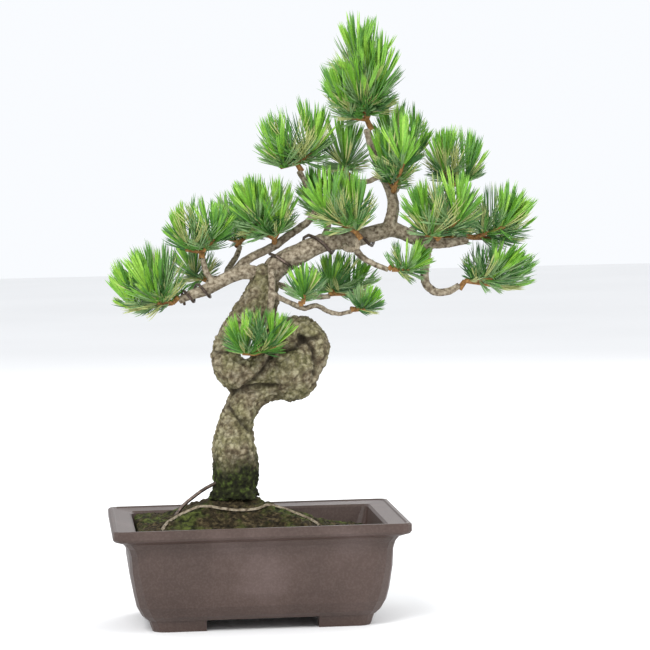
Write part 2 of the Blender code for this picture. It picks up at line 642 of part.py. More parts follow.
class Room:
    """The needles and twigs grown so far, and the limbs, that a new needle keeps clear of."""

    def __init__(self, limb_skin):
        self.limb_skin = limb_skin
        self.pieces = []

    def take(self, owner, start, end, width, is_needle):
        self.pieces.append((owner, (*start, *end), width, is_needle))

    def clear_of_limbs(self, points, halves):
        return all(self.limb_skin.find_nearest(Vector(point))[3] > half + LIMB_CLEARANCE
                   for point, half in zip(points, halves))

    def clear_of_pieces(self, owner, shares, points, halves):
        if not self.pieces:
            return True
        rows = np.array([piece[1] for piece in self.pieces])
        widths = np.array([piece[2] for piece in self.pieces])
        needles = np.array([piece[3] for piece in self.pieces])
        own = np.array([piece[0] == owner for piece in self.pieces])
        starts, lines = rows[:, :3], rows[:, 3:] - rows[:, :3]
        offsets = points[:, None, :] - starts
        along = np.clip((offsets * lines).sum(axis=2) / (lines ** 2).sum(axis=1), 0, 1)
        distance = np.linalg.norm(offsets - lines * along[:, :, None], axis=2)
        room = np.where(needles, needle_half_width(along, widths), widths / 2)
        room += halves[:, None] + np.where(own, 0, MASS_CLEARANCE)
        rooted = own & ((shares[:, None] < ROOT_SHARE) | (along < ROOT_SHARE) | ~needles)
        return bool(np.all((distance > room) | rooted))

    def fits(self, name, root, direction, length, width):
        """True if a needle keeps to its mass's space and clear of everything else."""
        shares = np.arange(1, NEEDLE_CHECKS + 1) / NEEDLE_CHECKS
        points = np.array(root) + np.array(direction) * (length * shares)[:, None]
        halves = needle_half_width(shares, width)
        if not all(in_space(name, Vector(point)) for point in points[shares > ROOT_SHARE]):
            return False
        return (self.clear_of_limbs(points, halves)
                and self.clear_of_pieces(name, shares, points, halves))


def tilted(axis, tilt, turn):
    """The direction that leans away from an axis by tilt, at a turn round it."""
    side = axis.orthogonal().normalized()
    out = side * math.cos(turn) + axis.cross(side) * math.sin(turn)
    return (axis * math.cos(tilt) + out * math.sin(tilt)).normalized()


def shoot_ends(name, rng):
    """Ends of a mass's shoots, spread round the middle of its space, rising in turn."""
    _, _, middle, radii, count, turn, top = MASSES[name]
    ends = []
    for i in range(count):
        rise = i / (count - 1) if count > 1 else 1
        height = LOWEST_SHOOT + (top - LOWEST_SHOOT) * rise
        spread = SHOOT_SPREAD * (1 - max(height, 0) * 4) if count > 1 else 0
        angle = math.radians(turn) + 2 * math.pi * i / count + rng.uniform(-0.2, 0.2)
        ends.append(mm(middle[0] + radii[0] * spread * math.cos(angle),
                       middle[1] + radii[1] * spread * math.sin(angle),
                       middle[2] + radii[2] * height))
    return ends


def stem_rows(name, limbs_rows):
    """A mass's stem, from a gap past its carrier's tip or off its side to the mass's base."""
    carrier, base, *_ = MASSES[name]
    rows = limbs_rows[carrier]
    end = mm(*base)
    tip, before = Vector(rows[-1][:3]), Vector(rows[-2][:3])
    if (end - tip).length < TIP_REACH:
        away, radius = (tip - before).normalized(), rows[-1][3]
        start = tip + away * GAP
    else:
        row = min(rows, key=lambda r: (Vector(r[:3]) - end).length)
        away, radius = (end - Vector(row[:3])).normalized(), TWIG_RADIUS
        start = Vector(row[:3]) + away * (row[3] + GAP * 2)
    neck = start + away * STEM_NECK
    return [(*start, radius * 0.95), (*neck, radius), (*end, TWIG_RADIUS * 1.15)]


def grow_needles(name, foot, end, count, young, rng, room, leaf, pieces):
    """Needles of one kind on one shoot, each tried until it fits its mass's space."""
    _, base, middle, *_ = MASSES[name]
    line = (end - foot).normalized()
    outward = (mm(*middle) - mm(*base)).normalized()
    axis = (line * 0.5 + outward * 0.6 + Vector((0, 0, 0.9))).normalized()
    width, thickness, tilts, places = YOUNG if young else OLD
    turn = rng.uniform(0, 2 * math.pi)
    grown = 0
    for _ in range(count * NEEDLE_TRIES):
        turn += GOLDEN_ANGLE
        tilt = math.radians(rng.uniform(*tilts))
        root = foot.lerp(end, rng.uniform(*places))
        direction = tilted(axis, tilt, turn)
        length = reach(name, root, direction) * rng.uniform(0.9, 1.0)
        if length < SHORTEST_NEEDLE or not room.fits(name, root, direction, length, width):
            continue
        room.take(name, root, root + direction * length, width, True)
        needle = bpy.data.objects.new("needle", leaf)
        needle.matrix_world = (Matrix.Translation(root)
                               @ direction.to_track_quat("Z", "Y").to_matrix().to_4x4()
                               @ Matrix.Diagonal((width, thickness, length, 1)))
        pieces.objects.link(needle)
        grown += 1
        if grown == count:
            break


def make_mass(name, leaf, limbs_rows, room, collection):
    """One mass: a stem, shoots and the needles that fit, joined into one body."""
    rng = random.Random(name)
    base = mm(*MASSES[name][1])
    rows = stem_rows(name, limbs_rows)
    pieces = new_collection(name + "_pieces")
    mass = tube("needles_" + name, rows, collection)
    room.take(name, rows[0][:3], base, TWIG_RADIUS * 2.3, False)
    ends = shoot_ends(name, rng)
    for end in ends:
        foot = base - (end - base).normalized() * TWIG_RADIUS * 0.5
        cone_between("shoot", foot, end, TWIG_RADIUS, TIP_RADIUS, 3, pieces)
        room.take(name, base, end, TWIG_RADIUS * 2, False)
    per_shoot = NEEDLES_PER_MASS / len(ends)
    for young in (True, False):
        count = round(per_shoot * (YOUNG_SHARE if young else 1 - YOUNG_SHARE))
        for end in ends:
            grow_needles(name, base, end, count, young, rng, room, leaf, pieces)
    boolean(mass, pieces, "UNION")
    for piece in list(pieces.objects):
        discard(piece)
    bpy.data.collections.remove(pieces)
    keep_largest_body(mass)
    return mass


def skin_of(objects):
    verts, faces = [], []
    for obj in objects:
        offset = len(verts)
        verts.extend(vert.co.copy() for vert in obj.data.vertices)
        faces.extend([index + offset for index in face.vertices] for face in obj.data.polygons)
    return BVHTree.FromPolygons(verts, faces)


def centre_on_box(objects, collection):
    """Parent all nodes to an empty placed so that the origin lies under the box's middle."""
    corners = np.array([vert.co for obj in objects for vert in obj.data.vertices])
    low, high = corners.min(axis=0), corners.max(axis=0)
    root = bpy.data.objects.new("white_pine_place", None)
    collection.objects.link(root)
    root.location = (-(low[0] + high[0]) / 2, -(low[1] + high[1]) / 2, -low[2])
    for obj in objects:
        obj.parent = root
    bpy.context.view_layer.update()


def main():
    clear_scene()
    tree = new_collection("white_pine")
    cutters = new_collection("cutters")
    materials = {name: make_material(name) for name in COLOURS}
    pot = make_pot(tree, cutters)
    soil = make_soil(tree)
    trunk = make_trunk(tree, cutters)
    limbs = make_limbs(trunk, tree, cutters)
    rows_by_limb = {name: limb_rows(name) for name in LIMBS}
    rows_by_limb["droop_lower"] = split_droop(limbs, tree)
    wires = [tube(name, coil_rows(name), tree) for name in WIRES]
    wires.append(make_anchor_wire(soil, trunk, tree, cutters))
    root = tube("surface_root", surface_rows(soil), tree, 0)
    limb_skin = skin_of([trunk, *limbs.values(), *wires])
    leaf = needle_mesh()
    room = Room(limb_skin)
    masses = [make_mass(name, leaf, rows_by_limb, room, tree) for name in MASSES]
    bpy.data.meshes.remove(leaf)
    groups = [([pot], "pot"), ([soil], "soil"), ([trunk], "bark"),
              ([*limbs.values(), root], "twig"), (wires, "wire"), (masses, "needles")]
    for objects, material in groups:
        for obj in objects:
            obj.data.materials.clear()
            obj.data.materials.append(materials[material])
            if material != "needles":
                shade_round(obj)
    nodes = [obj for objects, _ in groups for obj in objects]
    centre_on_box(nodes, tree)


main()
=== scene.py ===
"""The potted white pine, dressed: bark, soil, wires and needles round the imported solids.

Places are given in millimetres from the middle of the pot on the table, front at -Y, as in the
part's source, and are moved to the frame by the pot's box.
"""
import math
import random

import bmesh
import bpy
from mathutils import Matrix, Vector, noise
from mathutils.kdtree import KDTree


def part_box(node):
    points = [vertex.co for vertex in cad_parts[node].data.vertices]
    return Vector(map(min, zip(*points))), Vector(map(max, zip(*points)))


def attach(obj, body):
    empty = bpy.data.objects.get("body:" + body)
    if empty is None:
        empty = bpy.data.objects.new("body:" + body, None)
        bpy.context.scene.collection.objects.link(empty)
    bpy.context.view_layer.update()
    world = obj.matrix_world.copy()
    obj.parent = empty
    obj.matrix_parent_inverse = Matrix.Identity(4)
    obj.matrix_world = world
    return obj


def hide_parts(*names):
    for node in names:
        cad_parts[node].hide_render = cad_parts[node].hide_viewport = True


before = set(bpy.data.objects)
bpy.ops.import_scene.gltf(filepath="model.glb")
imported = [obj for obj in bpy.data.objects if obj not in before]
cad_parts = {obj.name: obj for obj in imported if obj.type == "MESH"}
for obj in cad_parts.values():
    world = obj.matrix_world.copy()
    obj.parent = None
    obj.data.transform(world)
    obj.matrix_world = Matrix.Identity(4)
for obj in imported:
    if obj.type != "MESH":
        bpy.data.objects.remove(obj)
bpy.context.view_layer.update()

MM = 0.001
pot_low, pot_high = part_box("pot")
SHIFT = Vector(((pot_low[0] + pot_high[0]) / 2, (pot_low[1] + pot_high[1]) / 2, pot_low[2]))
MASS_NODES = sorted(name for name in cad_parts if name.startswith("needles_"))
LIMB_NODES = ["main_limb", "left_bough", "back_bough", "leader", "droop_upper", "droop_lower",
              "upper_inner_twig", "front_spur", "right_under_twig", "front_twig", "low_front_twig",
              "low_right_twig", "under_twig", "left_mid_twig", "left_back_twig",
              "right_front_spur", "right_high_twig", "back_left_twig", "back_centre_twig",
              "back_right_twig", "back_upper_twig"]
WIRE_NODES = ["wire_main_limb", "wire_left_bough", "anchor_wire"]

# Camera, fitted to the pot's rim and the trunk in the photo
FOCAL_PIXELS = 2967.2
IMAGE_PIXELS = 650
SENSOR_MM = 36.0
CAMERA_DISTANCE = 2.0423
CAMERA_AZIMUTH = math.radians(-5.42)
CAMERA_HEIGHT = math.radians(3.31)
CAMERA_ROLL = math.radians(-1.16)
CAMERA_TARGET = (50.72, 0, 201.42)
CLIP_END = 20

# Studio, in metres: half the floor's side, then each light's place, aim, size and watts
FLOOR_HALF = 6.0
SKY_COLOUR = (0.95, 0.97, 1.0, 1)
SKY_STRENGTH = 1.0
LIGHTS = {
    "key": ((-0.9, -1.6, 1.7), (0, 0, 0.2), 1.0, 42),
    "fill": ((1.6, -1.2, 0.9), (0, 0, 0.2), 1.2, 14),
    "rim": ((0.6, 1.6, 1.4), (0, 0, 0.25), 1.0, 18),
}

# Masses: base, middle and half sizes of the space, shoots, turn of the first shoot in degrees,
# and the height of the topmost shoot's end as a share of the half height
MASSES = {
    "apex": ((82.4, 0, 342), (79, 0, 374), (33, 29, 48.5), 5, 200, 0.16),
    "upper_left": ((33.6, 2, 313), (34, 1, 330), (33, 28, 32), 2, 190, -0.3),
    "upper_inner": ((68.2, 14.6, 307), (68, 16, 321), (24, 21, 30), 1, 0, -0.3),
    "leader_front": ((99.9, -5, 294), (101, -9, 322), (23, 21, 35), 2, 120, -0.3),
    "front": ((72, -15.4, 265), (61, -18, 288), (30, 23, 29), 2, 15, -0.35),
    "right_high": ((143, 19, 295), (146, 21, 315), (27, 25, 27), 2, 20, -0.35),
    "right_front": ((129.6, -14, 261), (131, -19, 282), (33, 25, 32), 2, 170, -0.3),
    "right_far": ((156, 3, 259), (177, 3, 275), (28, 28, 28), 2, 80, -0.3),
    "right_low": ((148.5, 0, 229.5), (172, 0, 238), (33, 28, 23), 2, 60, -0.3),
    "left_inner": ((17, -1, 261.5), (9, -3, 284), (30, 25, 29), 3, 0, -0.3),
    "left_mid": ((-33, -7.4, 254), (-34.5, -9, 271), (29, 25, 25), 2, 160, -0.35),
    "left_tip": ((-54, -5, 219.4), (-70, -5, 237), (31, 27, 35), 3, 180, -0.35),
    "left_back": ((-29.5, 16.5, 233.4), (-38, 24, 244), (24, 22, 20), 1, 150, -0.35),
    "low_front": ((34, -18.2, 217.4), (35.5, -20, 231), (19, 18, 17.5), 1, 0, -0.4),
    "lowest": ((0.2, -25.4, 184.6), (3.1, -27, 198), (32, 20, 21), 2, 180, -0.4),
    "under": ((59, 17.4, 222), (66, 20, 234), (31, 23, 21), 2, 30, -0.3),
    "low_right": ((71.5, -8, 212), (78, -8, 217), (17, 16, 16), 1, 0, -0.3),
    "right_under": ((96.8, -8, 238.8), (109, -9, 245), (21, 18, 20), 1, 0, -0.35),
    "back_left": ((-4.6, 29, 259), (-3, 38, 277), (30, 26, 26), 2, 150, -0.35),
    "back_centre": ((58.4, 30, 273), (60, 39, 292), (29, 26, 28), 2, 0, -0.35),
    "back_right": ((142, 32, 258.5), (147, 42, 274), (30, 26, 26), 2, 30, -0.35),
    "back_upper": ((111.5, 25, 312), (110, 30, 332), (25, 24, 27), 2, 10, -0.35),
}
LOWEST_SHOOT = -0.62
SHOOT_SPREAD = 0.36
SPREAD_LOSS_ABOVE_MIDDLE = 4
SHOOT_TURN_JITTER = 0.2
GOLDEN_ANGLE = math.pi * (3 - math.sqrt(5))

# Needles: their longest and shortest length, and the shares drawn for each bundle or needle
NEEDLE_LENGTH = 43 * MM
SHORTEST_NEEDLE = 14 * MM
REACH_STEP = 1 * MM
NEEDLES_IN_BUNDLE = 5
BUNDLE_LENGTH_SHARES = (0.88, 1.0)
NEEDLE_LENGTH_SHARES = (0.9, 1.0)
LEAN_SHARES = (0.3, 1.0)
BEND_SHARES = (0.3, 1.3)
# A needle's outline: segments, sides, and its width at the root, its swelling and its taper
NEEDLE_STEPS = 5
NEEDLE_SIDES = 3
ROOT_WIDTH = 0.75
SWELLING = 0.5
TAPER = 0.55
LEAST_SIDEWAYS = 0.05
# What a shoot's bundles lean round: the shoot's own line, the way out of the mass, and up
ALONG_SHOOT = 0.5
OUT_OF_MASS = 0.6
UPWARD = 0.9
# Kinds of bundle: number to a shoot, lean from the shoot in degrees, where they root as a share
# of its length, half width of a needle, spread in degrees, upward bend and colours drawn from
YOUNG = dict(count=20, tilts=(2, 40), places=(0.78, 1.05), width=0.55 * MM, spread=2.6, bend=0.05,
             colours=("fresh", "bright", "bright", "mid"))
OLD = dict(count=32, tilts=(34, 102), places=(0.15, 0.92), width=0.4 * MM, spread=9.0, bend=0.16,
           colours=("mid", "grey", "grey", "deep", "straw"))
GREENS = {
    "fresh": ((0.28, 0.52, 0.06), 0.4),
    "bright": ((0.18, 0.41, 0.04), 0.4),
    "mid": ((0.10, 0.27, 0.04), 0.42),
    "grey": ((0.20, 0.33, 0.13), 0.45),
    "deep": ((0.05, 0.15, 0.035), 0.45),
    "straw": ((0.42, 0.46, 0.17), 0.5),
}
DARKER_GREEN = 0.78
LIGHTER_GREEN = 1.2

# Stems: radii where they start and end, and how deep they root in the limb, as a share of the gap
STEM_SIDES = 6
STEM_SINK = 1.25
STEM_RADII = (2.1 * MM, 1.8 * MM)
SHOOT_RADII = (1.7 * MM, 1.2 * MM)

# Folds in the trunk's front as x, z lines, each with its depth and half width in millimetres
CREASES = [
    ([(-24.1, 153.4), (-19.6, 149.5), (-14.8, 143.5), (-10.1, 137.9), (-2.1, 130.1)], 2.2, 1.3),
    ([(-29, 186.4), (-23.4, 185.2), (-17, 185.4)], 1.6, 1.0),
    ([(32.3, 195), (37.7, 190.1), (41.6, 183.8), (42.9, 176.9), (42, 168.7)], 2.6, 1.5),
    ([(14.2, 185.9), (11.7, 181.9), (7.1, 174.4), (2, 167.4), (-7.6, 160.5)], 3.4, 1.8),
    ([(-23, 160.5), (-15.2, 157.4), (-7.6, 158.6), (2, 162), (12, 161)], 2.4, 1.5),
    ([(20.4, 185.7), (28.7, 187.6), (35.7, 193.6), (44.6, 193.3)], 2.2, 1.4),
]
# Bosses on the trunk's front: x, z, radius and height; a hollow has a negative height and is
# darkened with painted shade
KNOTS = [(21.3, 163.8, 3.4, 1.8), (14.8, 161.2, 2.4, -2.4), (-24.5, 148, 3.2, 1.6),
         (30, 178, 4.5, 1.4), (-20, 122, 3.5, 1.5), (-4, 116, 3.6, 1.3), (-7, 145, 4, 1.4)]

# Relief: how finely each surface is meshed, then depths, and scales in repeats a metre
TRUNK_VOXEL = 0.9 * MM
TRUNK_SWELL = 0.3 * MM
LIMB_VOXEL = 0.7 * MM
LIMB_SWELL = 0.15 * MM
SOIL_VOXEL = 1.5 * MM
WOOD_SMOOTHING = 3
PLATE_EDGE = 3.0
OCTAVES = 4
BARK_WARP = 3 * MM
BARK_WARP_SCALE = 110
BARK_WARP_SEED = 1
BARK_PLATE = 4.6 * MM
BARK_PLATE_DEPTH = 0.8 * MM
BARK_PLATE_LEVEL = 0.6
BARK_LUMP_DEPTH = 1.5 * MM
BARK_LUMP_LEVEL = 0.5
BARK_LUMP_SCALE = 140
BARK_GRAIN_DEPTH = 0.3 * MM
BARK_GRAIN_SCALE = 900
# Painted shade in the bark's colour: how dark the cracks between plates stay and how sharply that
# lifts off them; the fold and hollow shades further down darken folds and hollows too
CRACK_SHADE_TONE = 0.45
CRACK_SHADE_EDGE = 1.6
FACING_MARGIN = 0.25
FOLD_FACING = 1.6
FOLD_WANDER = 0.7
FOLD_WANDER_SCALE = 300
FOLD_SHADE = 0.85
HOLLOW_SHADE = 0.3
LIMB_RING_DEPTH = 0.35 * MM
LIMB_RING_SCALE = 260
LIMB_GRAIN_DEPTH = 0.16 * MM
LIMB_GRAIN_SCALE = 1100
SOIL_TOP_NORMAL = 0.5
CLOD_DEPTH = 3.2 * MM
CLOD_LEVEL = 0.4
CLOD_SCALE = 110
CRUMB_SIZE = 4 * MM
CRUMB_DEPTH = 1.1 * MM

# Moss on the trunk ends between these heights, with an edge that wanders
MOSS_FULL = 0.104
MOSS_GONE = 0.118
MOSS_WANDER = 0.028
MOSS_WANDER_SCALE = 120

# Colour ramps, as positions and colours
BARK_TONES = [(0.36, (0.035, 0.026, 0.015)), (0.48, (0.15, 0.125, 0.075)),
              (0.66, (0.38, 0.34, 0.24))]
LICHEN_TONES = [(0.42, (0.15, 0.115, 0.07)), (0.6, (0.22, 0.22, 0.09))]
LICHEN_SHARE = 0.35
MOSS_TONES = [(0.35, (0.006, 0.006, 0.003)), (0.55, (0.022, 0.026, 0.008)),
              (0.72, (0.07, 0.10, 0.02))]
# The colour of the painted shade in the bark's cracks, folds and hollows
CRACK_SHADE_COLOUR = (0.02, 0.015, 0.009)
TWIG_TONES = [(0.32, (0.07, 0.05, 0.032)), (0.5, (0.22, 0.18, 0.125)), (0.7, (0.38, 0.33, 0.25))]
SHOOT_TONES = [(0.35, (0.16, 0.075, 0.025)), (0.7, (0.36, 0.19, 0.06))]
CLAY_TONES = [(0.3, (0.040, 0.021, 0.015)), (0.55, (0.062, 0.036, 0.028)),
              (0.75, (0.105, 0.07, 0.062))]
DUST_TONES = [(0.45, (0.045, 0.027, 0.021)), (0.62, (0.09, 0.064, 0.054))]
DUST_SHARE = 0.3
EARTH_TONES = [(0.3, (0.006, 0.005, 0.003)), (0.52, (0.035, 0.026, 0.013)),
               (0.75, (0.13, 0.10, 0.05))]
SOIL_MOSS_TONES = [(0.4, (0.012, 0.014, 0.004)), (0.66, (0.09, 0.11, 0.025))]
PATCH_TONES = [(0.45, (0, 0, 0)), (0.6, (1, 1, 1))]
WIRE_TONES = [(0.35, (0.035, 0.024, 0.018)), (0.7, (0.12, 0.085, 0.065))]
WIRE_METAL = 0.6
FLOOR_TONES = [(0.2, (0.86, 0.86, 0.86)), (0.8, (0.9, 0.9, 0.9))]


def at(x, y, z):
    """A place in millimetres from the middle of the pot, in the frame."""
    return SHIFT + Vector((x, y, z)) * MM


def mesh_object(name, verts, faces, material, smooth=False):
    mesh = bpy.data.meshes.new(name)
    mesh.from_pydata(verts, [], faces)
    mesh.materials.append(material)
    if smooth:
        mesh.shade_smooth()
    obj = bpy.data.objects.new(name, mesh)
    bpy.context.scene.collection.objects.link(obj)
    return obj


# Materials

class Look:
    """A material, with the nodes that give it its colour and grain."""

    # Sockets of the mix node when it mixes colours
    FIRST_COLOUR = 6
    SECOND_COLOUR = 7
    MIXED_COLOUR = 2

    def __init__(self, name, roughness, specular=0.5):
        self.material = bpy.data.materials.new(name)
        self.material.use_nodes = True
        self.nodes = self.material.node_tree.nodes
        self.links = self.material.node_tree.links
        self.shader = self.nodes["Principled BSDF"]
        self.shader.inputs["Roughness"].default_value = roughness
        self.shader.inputs["Specular IOR Level"].default_value = specular

    def place(self):
        return self.nodes.new("ShaderNodeTexCoord").outputs["Object"]

    def noise(self, scale, detail):
        """Noise on object coordinates; scale is in repeats a metre."""
        texture = self.nodes.new("ShaderNodeTexNoise")
        texture.inputs["Scale"].default_value = scale
        texture.inputs["Detail"].default_value = detail
        self.links.new(self.place(), texture.inputs["Vector"])
        return texture.outputs["Fac"]

    def tones(self, stops, scale, detail):
        """Noise spread over the colours of a ramp."""
        ramp = self.nodes.new("ShaderNodeValToRGB")
        elements = ramp.color_ramp.elements
        while len(elements) < len(stops):
            elements.new(0.5)
        for element, (position, colour) in zip(elements, stops):
            element.position = position
            element.color = (*colour, 1)
        self.links.new(self.noise(scale, detail), ramp.inputs["Fac"])
        return ramp.outputs["Color"]

    def mix(self, factor, first, second):
        """Mixes two colours; each value is a socket or a constant."""
        node = self.nodes.new("ShaderNodeMix")
        node.data_type = "RGBA"
        for socket, value in ((node.inputs["Factor"], factor),
                              (node.inputs[self.FIRST_COLOUR], first),
                              (node.inputs[self.SECOND_COLOUR], second)):
            if isinstance(value, bpy.types.NodeSocket):
                self.links.new(value, socket)
            elif isinstance(value, tuple):
                socket.default_value = (*value, 1)
            else:
                socket.default_value = value
        return node.outputs[self.MIXED_COLOUR]

    def painted_shade_tone(self):
        """The painted shade that relief() keeps on the mesh, darker in cracks, folds and hollows.
        """
        attribute = self.nodes.new("ShaderNodeAttribute")
        attribute.attribute_name = "relief"
        return attribute.outputs["Fac"]

    def height_mask(self, low, high):
        """0 below low and 1 above high, in metres over the table, with a ragged edge."""
        split = self.nodes.new("ShaderNodeSeparateXYZ")
        self.links.new(self.place(), split.inputs["Vector"])
        ragged = self.nodes.new("ShaderNodeMath")
        ragged.operation = "MULTIPLY_ADD"
        ragged.inputs[1].default_value = MOSS_WANDER
        self.links.new(self.noise(MOSS_WANDER_SCALE, 4), ragged.inputs[0])
        self.links.new(split.outputs["Z"], ragged.inputs[2])
        spread = self.nodes.new("ShaderNodeMapRange")
        spread.inputs["From Min"].default_value = low + MOSS_WANDER / 2
        spread.inputs["From Max"].default_value = high + MOSS_WANDER / 2
        self.links.new(ragged.outputs["Value"], spread.inputs["Value"])
        return spread.outputs["Result"]

    def colour(self, socket):
        self.links.new(socket, self.shader.inputs["Base Color"])

    def grain(self, scale, detail, strength, distance):
        """Bump for what is finer than the mesh."""
        bump = self.nodes.new("ShaderNodeBump")
        bump.inputs["Strength"].default_value = strength
        bump.inputs["Distance"].default_value = distance
        self.links.new(self.noise(scale, detail), bump.inputs["Height"])
        self.links.new(bump.outputs["Normal"], self.shader.inputs["Normal"])


def make_bark():
    look = Look("bark", roughness=0.92, specular=0.2)
    plates_colour = look.tones(BARK_TONES, scale=300, detail=9)
    lichen = look.tones(LICHEN_TONES, scale=75, detail=5)
    worn = look.mix(LICHEN_SHARE, plates_colour, lichen)
    # Painted shade: the kept tone darkens the bark towards the crack colour in cracks, folds and
    # hollows
    bark_with_painted_shade = look.mix(look.painted_shade_tone(), CRACK_SHADE_COLOUR, worn)
    moss = look.tones(MOSS_TONES, scale=330, detail=6)
    look.colour(look.mix(look.height_mask(MOSS_FULL, MOSS_GONE), moss, bark_with_painted_shade))
    look.grain(scale=900, detail=8, strength=0.6, distance=0.6 * MM)
    return look.material


def make_twig_bark():
    look = Look("twig_bark", roughness=0.85, specular=0.25)
    look.colour(look.tones(TWIG_TONES, scale=420, detail=6))
    look.grain(scale=1300, detail=5, strength=0.5, distance=0.4 * MM)
    return look.material


def make_shoot_material():
    look = Look("shoot", roughness=0.8, specular=0.25)
    look.colour(look.tones(SHOOT_TONES, scale=600, detail=4))
    look.grain(scale=1800, detail=3, strength=0.4, distance=0.3 * MM)
    return look.material


def make_ceramic():
    look = Look("ceramic", roughness=0.5, specular=0.45)
    clay = look.tones(CLAY_TONES, scale=26, detail=8)
    dust = look.tones(DUST_TONES, scale=700, detail=3)
    look.colour(look.mix(DUST_SHARE, clay, dust))
    look.grain(scale=1100, detail=4, strength=0.25, distance=0.3 * MM)
    return look.material


def make_soil_material():
    look = Look("soil", roughness=0.98, specular=0.15)
    patches = look.tones(PATCH_TONES, scale=45, detail=4)
    earth = look.tones(EARTH_TONES, scale=350, detail=8)
    moss = look.tones(SOIL_MOSS_TONES, scale=240, detail=6)
    look.colour(look.mix(patches, earth, moss))
    look.grain(scale=800, detail=8, strength=1.0, distance=1.5 * MM)
    return look.material


def make_wire_material():
    look = Look("wire_coat", roughness=0.45)
    look.colour(look.tones(WIRE_TONES, scale=500, detail=5))
    look.shader.inputs["Metallic"].default_value = WIRE_METAL
    look.grain(scale=1500, detail=3, strength=0.2, distance=0.2 * MM)
    return look.material


def make_green(name):
    colour, roughness = GREENS[name]
    look = Look("needle_" + name, roughness)
    darker = tuple(c * DARKER_GREEN for c in colour)
    lighter = tuple(c * LIGHTER_GREEN for c in colour)
    look.colour(look.tones([(0.3, darker), (0.7, lighter)], scale=700, detail=2))
    look.grain(scale=2600, detail=2, strength=0.15, distance=0.2 * MM)
    return look.material


def make_floor_material():
    look = Look("floor", roughness=0.9, specular=0.1)
    look.colour(look.tones(FLOOR_TONES, scale=2, detail=2))
    return look.material


# Surfaces with relief

def copy_joined(name, nodes, material):
    """One object that joins copies of some nodes' meshes."""
    shape = bmesh.new()
    for node in nodes:
        shape.from_mesh(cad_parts[node].data)
    mesh = bpy.data.meshes.new(name)
    shape.to_mesh(mesh)
    shape.free()
    mesh.materials.append(material)
    obj = bpy.data.objects.new(name, mesh)
    bpy.context.scene.collection.objects.link(obj)
    return obj


def settle(obj):
    """Makes an object's modified shape its mesh."""
    bpy.context.view_layer.update()
    depsgraph = bpy.context.evaluated_depsgraph_get()
    mesh = bpy.data.meshes.new_from_object(obj.evaluated_get(depsgraph))
    obj.modifiers.clear()
    obj.data = mesh


def remeshed(obj, voxel, swelling=0.0, smoothing=0):
    """Swells an object, fuses its pieces into one even skin and smooths that."""
    if swelling:
        swell = obj.modifiers.new("Swell", "DISPLACE")
        swell.mid_level = 0
        swell.strength = swelling
    fuse = obj.modifiers.new("Fuse", "REMESH")
    fuse.mode = "VOXEL"
    fuse.voxel_size = voxel
    if smoothing:
        soften = obj.modifiers.new("Soften", "SMOOTH")
        soften.factor = 0.5
        soften.iterations = smoothing
    settle(obj)


def relief(obj, depth_at):
    """Moves each point along its normal, and keeps a tone of painted shade for the material.

    depth_at(place, normal) gives the depth and the painted shade: 0 in a crack, 1 on open bark.
    """
    mesh = obj.data
    tones = mesh.attributes.new("relief", "FLOAT", "POINT")
    normals = [vert.normal.copy() for vert in mesh.vertices]
    for vert, normal in zip(mesh.vertices, normals):
        depth, painted_shade = depth_at(vert.co, normal)
        vert.co += normal * depth
        tones.data[vert.index].value = painted_shade
    mesh.update()
    mesh.shade_smooth()


def line_distance(x, z, line):
    """Distance in millimetres from a point to a line of x, z places."""
    here = Vector((x, z))
    nearest = math.inf
    for start, end in zip(line, line[1:]):
        start, end = Vector(start), Vector(end)
        run = end - start
        share = min(max((here - start).dot(run) / run.length_squared, 0), 1)
        nearest = min(nearest, (here - start - run * share).length)
    return nearest


def plates(place, size):
    """0 in the cracks between plates of a size, rising to 1 on them."""
    near = noise.voronoi(place / size, distance_metric="DISTANCE")[0]
    return min((near[1] - near[0]) * PLATE_EDGE, 1.0)


def trunk_depth(place, normal):
    """Bark plates, folds and bosses of the trunk, with painted shade in the cracks, folds and
    hollows.
    """
    warp = noise.noise_vector(place * BARK_WARP_SCALE) * BARK_WARP
    plate = plates(place + warp, BARK_PLATE)
    lumps = noise.turbulence(place * BARK_LUMP_SCALE, OCTAVES, True)
    depth = (plate - BARK_PLATE_LEVEL) * BARK_PLATE_DEPTH
    depth += (lumps - BARK_LUMP_LEVEL) * BARK_LUMP_DEPTH
    depth += noise.noise(place * BARK_GRAIN_SCALE) * BARK_GRAIN_DEPTH
    # Painted shade, darkest in the cracks between plates
    painted_shade = CRACK_SHADE_TONE + (1 - CRACK_SHADE_TONE) * min(plate * CRACK_SHADE_EDGE, 1)
    x, z = (place.x - SHIFT.x) / MM, (place.z - SHIFT.z) / MM
    facing = max(-normal.y + FACING_MARGIN, 0)
    wander = FOLD_WANDER * noise.noise(place * FOLD_WANDER_SCALE)
    for line, deep, half in CREASES:
        share = line_distance(x, z, line) / half + wander
        fold = math.exp(-share * share) * min(facing * FOLD_FACING, 1)
        depth -= deep * fold * MM
        # Painted shade in the fold
        painted_shade *= 1 - FOLD_SHADE * fold
    for knot_x, knot_z, radius, height in KNOTS:
        share = math.hypot(x - knot_x, z - knot_z) / radius
        boss = math.exp(-share * share) * min(facing, 1)
        depth += height * boss * MM
        # Painted shade in a hollow
        painted_shade *= 1 + min(height, 0) * HOLLOW_SHADE * boss
    return depth, painted_shade


def limb_depth(place, normal):
    """Rings and grain of the boughs and twigs."""
    rings = noise.noise(place * LIMB_RING_SCALE) * LIMB_RING_DEPTH
    return rings + noise.noise(place * LIMB_GRAIN_SCALE) * LIMB_GRAIN_DEPTH, 1.0


